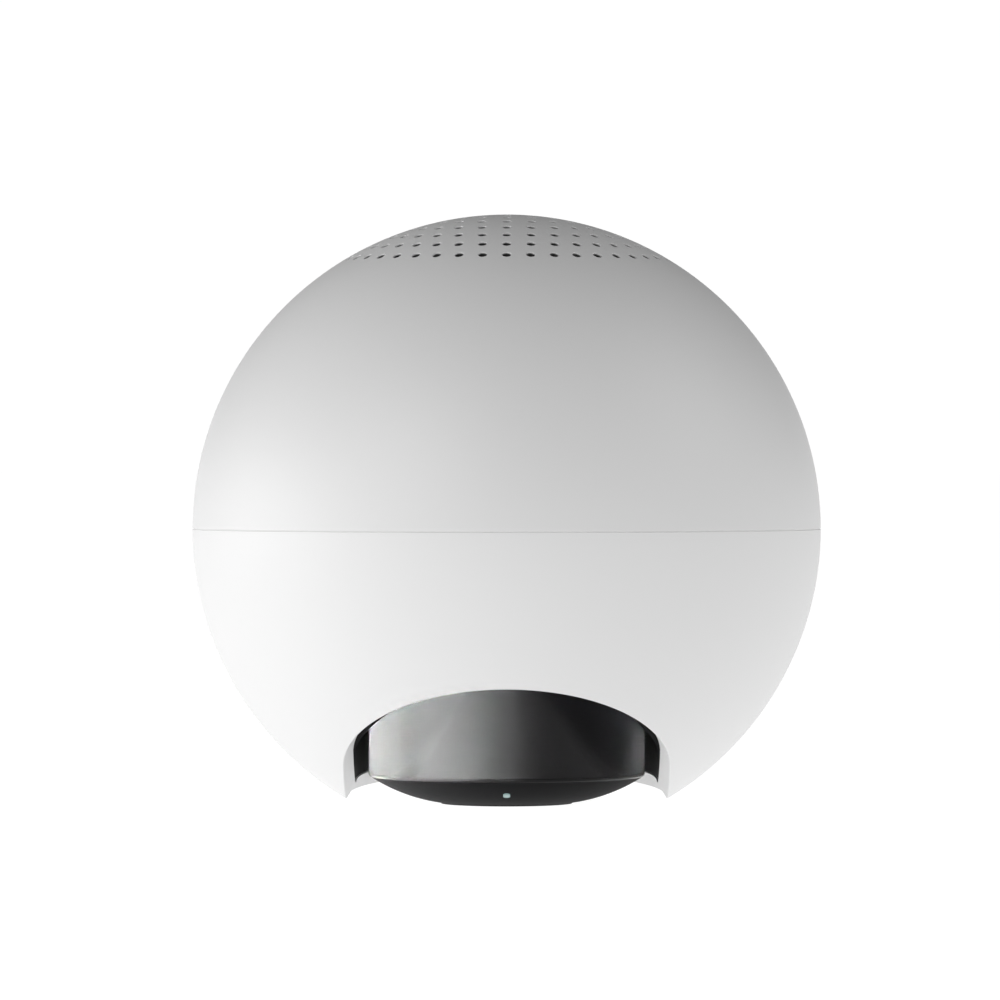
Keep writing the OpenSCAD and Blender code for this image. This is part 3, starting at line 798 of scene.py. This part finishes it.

# %% [markdown]
# Each new piece rides on the housing body, and hides the CAD node that it stands for.

# %% Put the pieces on their bodies
for piece, node, slot in (
    (upper, "top_shell", "shell_white"), (lower, "bottom_shell", "shell_white"),
    (drum, "base_drum", "gloss_black"), (dish, "base_dish", "gloss_black"),
):
    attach(piece, "housing")
    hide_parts(node)

# %% [markdown]
# The studio is a white table that glows, under a sky that is white at the horizon and dim
# overhead, so the ball is brightest below and darkest at its crown. Four soft panels shape the
# ball: two on the left and in front, which are strong, and two weaker ones on the right. The glow
# keeps the table white, so the ball hardly throws a shadow on it.

# %% Studio
def stage_sheet(name, corners, material):
    mesh = bpy.data.meshes.new(name)
    mesh.from_pydata(corners, [], [tuple(range(len(corners)))])
    sheet = new_piece(name, mesh)
    mesh.materials.append(material)
    return sheet


FLOOR_HALF = 20.0
FLOOR_GLOW = 1.0
SKY_HORIZON = 1.02
SKY_ABOVE = 0.1
HORIZON_TOP = 0.085
SKY_START = 0.168
LEFT_PANEL = 5.4
FRONT_PANEL = 5.2
RIGHT_PANEL = 0.6
RIGHT_HIGH = 1.9
floor_finish, _, _ = new_finish(
    "pale_floor", (0.15, 0.15, 0.15), 0.9,
    Emission_Color=(1, 1, 1, 1), Emission_Strength=FLOOR_GLOW, Specular_IOR_Level=0.0,
)
corners = [(x * FLOOR_HALF, y * FLOOR_HALF, 0) for x, y in ((-1, -1), (1, -1), (1, 1), (-1, 1))]
stage_sheet("floor", corners, floor_finish)

world = bpy.data.worlds.new("studio")
bpy.context.scene.world = world
world.use_nodes = True
graph = Graph(world.node_tree)
direction = graph.node("ShaderNodeTexCoord", out="Generated")
height = graph.node("ShaderNodeSeparateXYZ", None, {0: direction}, out="Z")
sky = ((0.0, SKY_HORIZON), (HORIZON_TOP, SKY_HORIZON), (SKY_START, SKY_ABOVE), (1.0, SKY_ABOVE))
stops = [(level, (glow, glow, glow)) for level, glow in sky]
ramp = graph.node("ShaderNodeValToRGB", {"stops": stops}, {"Fac": height})
background = world.node_tree.nodes["Background"]
graph.feed(ramp, background.inputs["Color"])
background.inputs["Strength"].default_value = 1.0


def soft_panel(name, place, target, width, tall, power):
    light = bpy.data.lights.new(name, "AREA")
    light.shape = "RECTANGLE"
    light.size, light.size_y = width, tall
    light.energy = power
    lamp = bpy.data.objects.new(name, light)
    lamp.location = place
    lamp.rotation_mode = "QUATERNION"
    lamp.rotation_quaternion = (Vector(target) - Vector(place)).to_track_quat("-Z", "Y")
    lamp.visible_camera = False
    bpy.context.scene.collection.objects.link(lamp)
    return lamp


panels = (
    ("left_panel", (-0.9, 0.0, 0.05), 0.9, 0.5, LEFT_PANEL),
    ("front_panel", (-0.7, -0.9, 0.6), 0.8, 0.8, FRONT_PANEL),
    ("right_panel", (0.9, 0.3, 0.2), 0.6, 0.6, RIGHT_PANEL),
    ("right_high_panel", (0.8, -0.1, 0.6), 0.6, 0.6, RIGHT_HIGH),
)
for name, place, width, tall, power in panels:
    soft_panel(name, place, (0, 0, BALL_Z), width, tall, power)
print("panels:", len(panels))
bpy.context.scene.view_settings.view_transform = "Standard"

# %% [markdown]
# The polished drum stands deep in the mouth, where little light reaches it. A ring of tall strip
# lights is linked to the pedestal alone and isn't blocked by the shell. Each strip has its own
# radiance, highest on the left, which gives the drum one broad highlight that fades to the right.
# Multiple importance sampling is off for them: with it, half the light is looked for along
# reflected rays, which the shell stops, and the highlight would be cut off.

# %% Strips for the pedestal alone
STRIP_STEP = 15
STRIP_AWAY = 0.6
STRIP_WIDE = 0.16
STRIP_TALL = 1.0
STRIP_FIRST = -150
STRIP_RADIANCE = [4.0, 8.0, 13.0, 17.0, 22.0, 26.5, 27.4, 24.3, 19.5, 12.5, 6.2, 2.2, 0.45,
                  0.4, 0.45, 0.5, 0.6, 0.6, 0.6, 0.9, 1.8]
pedestal = bpy.data.collections.new("pedestal_lights")
for piece in (drum, dish):
    pedestal.objects.link(piece)


def strip_light(azimuth, radiance):
    a = math.radians(azimuth)
    place = (STRIP_AWAY * math.sin(a), -STRIP_AWAY * math.cos(a), DRUM_LOW)
    power = radiance * math.pi * STRIP_WIDE * STRIP_TALL
    lamp = soft_panel("strip", place, (0, 0, DRUM_LOW), STRIP_WIDE, STRIP_TALL, power)
    lamp.data.cycles.use_multiple_importance_sampling = False
    lamp.light_linking.receiver_collection = pedestal
    lamp.light_linking.blocker_collection = pedestal


for i, radiance in enumerate(STRIP_RADIANCE):
    strip_light(STRIP_FIRST + i * STRIP_STEP, radiance)
print("strips:", len(STRIP_RADIANCE))
